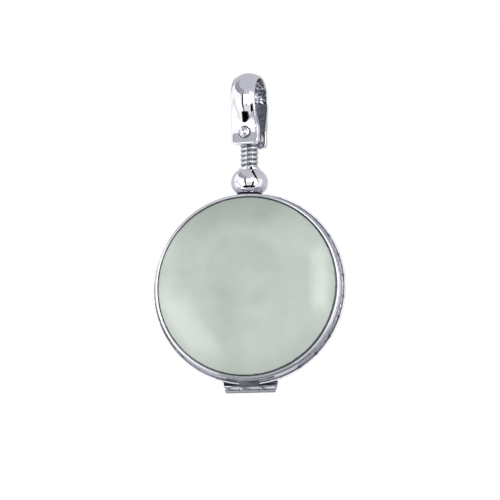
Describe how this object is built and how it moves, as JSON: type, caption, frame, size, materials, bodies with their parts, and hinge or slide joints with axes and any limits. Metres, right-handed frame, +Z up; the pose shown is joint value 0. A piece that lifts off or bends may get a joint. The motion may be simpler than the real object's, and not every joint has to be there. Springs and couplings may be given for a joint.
{
  "type": "glass locket pendant",
  "caption": "Round glass locket with domed crystals in engraved hinged silver frames, a threaded post with a ball nut, and a riveted teardrop bail.",
  "frame": {"origin": "inside top of the bail, where the chain or cord carries the locket", "axes": "+Z up along the post, +Y from the front crystal to the back crystal, +X across the glass"},
  "size_m": [0.0274, 0.0086, 0.0458],
  "materials": {
    "polished_silver": "polished white silver",
    "engraved_silver": "bright-cut engraved silver with a polished lip",
    "crystal": "polished glass with a milky grey-green cast"
  },
  "bodies": {
    "hanger": {"bail": "polished_silver", "bail_rivet": "polished_silver"},
    "case": {"back_frame": "engraved_silver", "back_glass": "crystal", "hinge_pin": "polished_silver"},
    "cover": {"front_frame": "engraved_silver", "front_glass": "crystal"},
    "nut": {"ball_nut": "polished_silver"}
  },
  "joints": [
    {"name": "pendant_swing", "type": "hinge", "parent": "hanger", "child": "case", "pos_m": [0, 0, -0.00813], "axis": [0.1392, 0.9903, 0], "range_deg": [-80, 80]},
    {"name": "cover_hinge", "type": "hinge", "parent": "case", "child": "cover", "pos_m": [0, 0.0007, -0.04426], "axis": [1, 0, 0], "range_deg": [0, 180]},
    {"name": "nut_travel", "type": "slide", "parent": "case", "child": "nut", "axis": [0, 0, 1], "range_m": [0, 0.0023]}
  ]
}
